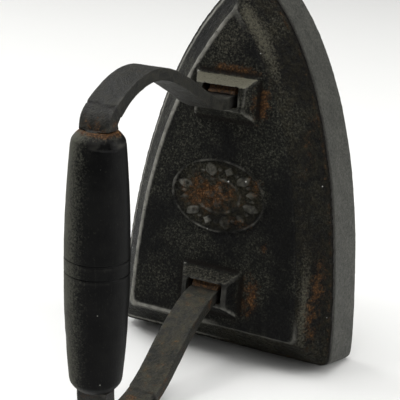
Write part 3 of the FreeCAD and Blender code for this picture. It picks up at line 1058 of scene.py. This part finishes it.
def casting_material():
    material, tree, shader, where = new_material("cast_iron_skin")
    fine = grain_of(tree, where, 0.95, 4.0, 0.85)
    medium = grain_of(tree, where, 3.4, 4.0, 0.75)
    cloud = grain_of(tree, where, 24.0, 3.0, 0.6)
    busy = level(tree, cloud, 0.4, 0.6, 0.15, 1.0)
    colour = blend(tree, busy, SKIN_BLACK, SKIN_BROWN)
    # grain, partly painted glints: lighter patches and flecks stand in for highlights on the
    # rough skin
    lights = times(tree, level(tree, medium, 0.5, 0.7, 0.0, 0.5), busy)
    colour = blend(tree, lights, colour, SKIN_PALE_AND_GLINT)
    flecks = times(tree, level(tree, fine, 0.5, 0.66), busy)
    colour = blend(tree, flecks, colour, SKIN_FLECK_AND_GLINT)
    colour = blend(tree, level(tree, fine, 0.5, 0.38, 0.0, 0.95), colour, SKIN_PIT)
    # brown dirt bedded in the skin
    soil = times(tree, mask(tree, "soil"), level(tree, fine, 0.35, 0.6, 0.3, 1.0))
    soil = times(tree, soil, level(tree, medium, 0.38, 0.6, 0.15, 1.0))
    colour = blend(tree, times(tree, soil, 0.8), colour, SOIL)
    # smooth wall: an even, finely grained grey, made much lighter than the top, partly as painted
    # light
    wall = mask(tree, "wall")
    wall_cloud = times(tree, grain_of(tree, where, 7.0, 4.0, 0.6), 0.25)
    wall_grain = level(tree, plus(tree, wall_cloud, fine), 0.42, 0.84)
    wall_tone_and_light = blend(tree, wall_grain, WALL_DARK, WALL_LIGHT)
    colour = blend(tree, times(tree, wall, 0.85), colour, wall_tone_and_light)
    # ground sole with long scratches
    sole = mask(tree, "sole")
    scratches = grain_of(tree, stretched(tree, where, (6.0, 1.0, 0.12)), 1.5, 4.0, 0.7)
    sole_tone = blend(tree, level(tree, scratches, 0.35, 0.7), SOLE_DARK, SOLE_LIGHT)
    colour = blend(tree, sole, colour, sole_tone)
    # pale olive dust caught in the grain, and painted light on the left bevel and the right
    # bevel's stripe
    dust = mask(tree, "dust")
    dust_grain = level(tree, plus(tree, times(tree, dust, 0.62), fine), 0.76, 1.12)
    colour = blend(tree, times(tree, dust_grain, 0.9), colour, SKIN_DUST_AND_LIGHT)
    # bare edges, and painted highlights along the left edges, the heel end's panel edge and the
    # ornament
    wear = times(tree, mask(tree, "wear"), level(tree, medium, 0.2, 0.5))
    colour = blend(tree, wear, colour, BARE_IRON_AND_HIGHLIGHT)
    colour, rust = rusted(tree, where, colour, mask(tree, "rust"))
    # darker lines at the brow and the parting line, and painted shade in the hollows
    colour = blend(tree, times(tree, mask(tree, "hollow"), 0.9), colour, DARK_LINE_AND_SHADE)
    dots = specks(tree, where, 4.2, 0.10)
    colour = blend(tree, times(tree, dots, 0.8), colour, SKIN_DOT)
    tree.links.new(colour, shader.inputs["Base Color"])
    rough = level(tree, medium, 0.3, 0.7, 0.5, 0.66)
    rough = minus(tree, rough, times(tree, plus(tree, wall, sole), 0.12))
    rough = plus(tree, rough, times(tree, rust, 0.25))
    tree.links.new(rough, shader.inputs["Roughness"])
    tree.links.new(times(tree, sole, 0.7), shader.inputs["Metallic"])
    shader.inputs["Specular IOR Level"].default_value = 0.09
    calm = minus(tree, 1.0, times(tree, plus(tree, wall, sole), 0.8))
    coarse = mask(tree, "coarse")
    strong = plus(tree, calm, times(tree, coarse, 1.3))
    bump(tree, shader, [
        (times(tree, medium, strong), 1.0),
        (times(tree, fine, strong), 0.5),
        (times(tree, scratches, sole), 0.05),
        (rust, 0.08),
    ])
    return material


def bar_material():
    material, tree, shader, where = new_material("forged_iron")
    fine = grain_of(tree, where, 0.9, 3.0, 0.75)
    scale = grain_of(tree, where, 3.6, 5.0, 0.7)
    colour = blend(tree, level(tree, scale, 0.35, 0.68), BAR_DARK, BAR_LIGHT)
    colour = blend(tree, level(tree, fine, 0.58, 0.8, 0.0, 0.5), colour, BAR_FLECK)
    dust = mask(tree, "dust")
    dusty = level(tree, plus(tree, times(tree, dust, 0.8), fine), 0.75, 1.3)
    colour = blend(tree, times(tree, dusty, 0.8), colour, BAR_DUST)
    wear = times(tree, mask(tree, "wear"), level(tree, scale, 0.35, 0.65))
    colour = blend(tree, times(tree, wear, 0.5), colour, BAR_EDGE)
    colour, rust = rusted(tree, where, colour, times(tree, mask(tree, "rust"), 0.85))
    # lap and weld lines, and painted shade in the hollows and at the sockets
    colour = blend(tree, times(tree, mask(tree, "hollow"), 0.7), colour, BAR_SEAM_AND_SHADE)
    dots = specks(tree, where, 4.0, 0.05)
    colour = blend(tree, times(tree, dots, 0.7), colour, BAR_DOT)
    tree.links.new(colour, shader.inputs["Base Color"])
    rough = plus(tree, level(tree, scale, 0.3, 0.7, 0.44, 0.6), times(tree, rust, 0.25))
    tree.links.new(rough, shader.inputs["Roughness"])
    shader.inputs["Specular IOR Level"].default_value = 0.2
    bump(tree, shader, [(scale, 0.7), (fine, 0.22)])
    return material


def grip_material():
    material, tree, shader, where = new_material("black_turned_wood")
    pores = grain_of(tree, stretched(tree, where, (1.0, 1.0, 0.06)), 0.7, 4.0, 0.7)
    rings = grain_of(tree, stretched(tree, where, (0.03, 0.03, 1.0)), 0.9, 3.0, 0.6)
    cloud = grain_of(tree, where, 9.0, 4.0, 0.65)
    fine = grain_of(tree, where, 0.8, 3.0, 0.8)
    colour = blend(tree, level(tree, cloud, 0.35, 0.7), WOOD_BLACK, WOOD_DARK)
    colour = blend(tree, level(tree, pores, 0.6, 0.82, 0.0, 0.5), colour, WOOD_PORE)
    dust = mask(tree, "dust")
    speckle = plus(tree, times(tree, fine, 0.8), times(tree, pores, 0.2))
    dusty = level(tree, plus(tree, times(tree, dust, 0.5), speckle), 0.62, 0.98)
    # dust, and painted light on the grip's left side
    colour = blend(tree, times(tree, dusty, 0.75), colour, WOOD_DUST_AND_LIGHT)
    wear = times(tree, mask(tree, "wear"), level(tree, cloud, 0.35, 0.6))
    colour = blend(tree, times(tree, wear, 0.5), colour, WOOD_EDGE)
    colour, rust = rusted(tree, where, colour, mask(tree, "rust"))
    # painted shade in the turned grooves
    colour = blend(tree, times(tree, mask(tree, "hollow"), 0.75), colour, WOOD_GROOVE_SHADE)
    dots = specks(tree, where, 3.4, 0.10)
    colour = blend(tree, times(tree, dots, 0.5), colour, WOOD_DOT)
    tree.links.new(colour, shader.inputs["Base Color"])
    rough = plus(tree, level(tree, cloud, 0.3, 0.7, 0.36, 0.5), times(tree, dusty, 0.2))
    tree.links.new(rough, shader.inputs["Roughness"])
    shader.inputs["Specular IOR Level"].default_value = 0.075
    bump(tree, shader, [(rings, 0.05), (pores, 0.05), (rust, 0.15)])
    return material


def wedge_material():
    material, tree, shader, where = new_material("rusted_wedge_iron")
    scale = grain_of(tree, where, 1.6, 4.0, 0.7)
    colour = blend(tree, level(tree, scale, 0.35, 0.65), WEDGE_DARK, WEDGE_LIGHT)
    dust = times(tree, mask(tree, "dust"), grain_of(tree, where, 0.7))
    colour = blend(tree, dust, colour, WEDGE_DUST)
    colour = blend(tree, times(tree, mask(tree, "wear"), 0.4), colour, WEDGE_EDGE)
    colour, rust = rusted(tree, where, colour, mask(tree, "rust"))
    tree.links.new(colour, shader.inputs["Base Color"])
    tree.links.new(level(tree, scale, 0.3, 0.7, 0.7, 0.9), shader.inputs["Roughness"])
    shader.inputs["Specular IOR Level"].default_value = 0.3
    bump(tree, shader, [(scale, 0.3), (rust, 0.1)])
    return material


# ---- Stage, light and camera ----
FLOOR_HALF = 4.0
WORLD_STRENGTH = 0.26
# softboxes: name, place, aim and size in m, power in W
SOFTBOXES = [
    ("overhead", (0.2, -0.1, 1.2), (0.15, -0.05, 0), (1.5, 1.5), 13.0),
    ("left", (-1.1, 0.15, 0.95), (0, 0, 0.08), (1.1, 1.1), 10.5),
    ("right", (1.3, 0.35, 0.6), (0, 0, 0.08), (0.9, 0.9), 10.0),
    ("raking", (-0.45, -0.30, 0.95), (0, 0, 0.08), (0.25, 0.25), 2.2),
]
CAMERA_PLACE = (0.2584, -0.4402, 0.2528)
CAMERA_LOOK = (-0.4695, 0.8225, -0.3209)
CAMERA_UP = (-0.1754, 0.2694, 0.9469)
CAMERA_LENS_MM = 119.35
CAMERA_SENSOR_MM = 36.0
CAMERA_NEAR_M = 0.02


def make_floor():
    """Plain pale floor; its far edge shows only from lower than the camera stands."""
    bm = bmesh.new()
    bmesh.ops.create_grid(bm, x_segments=2, y_segments=2, size=FLOOR_HALF)
    mesh = bpy.data.meshes.new("floor")
    bm.to_mesh(mesh)
    bm.free()
    floor = add_object("floor", mesh)
    material, tree, shader, where = new_material("pale_floor")
    tone = blend(tree, grain_of(tree, where, 300.0, 2.0), FLOOR_DARK, FLOOR_LIGHT)
    tree.links.new(tone, shader.inputs["Base Color"])
    shader.inputs["Roughness"].default_value = 0.9
    shader.inputs["Specular IOR Level"].default_value = 0.1
    mesh.materials.append(material)


def softbox(name, place_at, aim, size, power):
    light = bpy.data.lights.new(name, "AREA")
    light.shape = "RECTANGLE"
    light.size, light.size_y = size
    light.energy = power
    lamp = add_object(name, light)
    lamp.location = place_at
    toward = Vector(aim) - Vector(place_at)
    lamp.rotation_euler = toward.to_track_quat("-Z", "Y").to_euler()


def make_lights():
    world = bpy.data.worlds.new("studio")
    bpy.context.scene.world = world
    world.use_nodes = True
    background = world.node_tree.nodes["Background"]
    background.inputs["Color"].default_value = SKY
    background.inputs["Strength"].default_value = WORLD_STRENGTH
    for box in SOFTBOXES:
        softbox(*box)
    bpy.context.scene.view_settings.view_transform = "Standard"


def make_camera():
    """Stands to the iron's right, a little above it, and looks down at the handle."""
    data = bpy.data.cameras.new("camera")
    data.sensor_width = CAMERA_SENSOR_MM
    data.lens = CAMERA_LENS_MM
    data.clip_start = CAMERA_NEAR_M
    camera = add_object("camera", data)
    look = Vector(CAMERA_LOOK).normalized()
    right = look.cross(Vector(CAMERA_UP)).normalized()
    up = right.cross(look)
    turn = Matrix((right, up, -look)).transposed()
    camera.matrix_world = Matrix.Translation(CAMERA_PLACE) @ turn.to_4x4()
    bpy.context.scene.camera = camera


make_camera()
make_floor()
make_lights()
iron_skin = casting_material()
wedge_skin = wedge_material()
make_casting(iron_skin)
make_bar(bar_material())
make_grip(grip_material())
make_wedge("wedge_front", FRONT_SOCKET_X, 31.0, wedge_skin, "front_wedge")
make_wedge("wedge_rear", REAR_SOCKET_X, 37.0, wedge_skin, "rear_wedge")
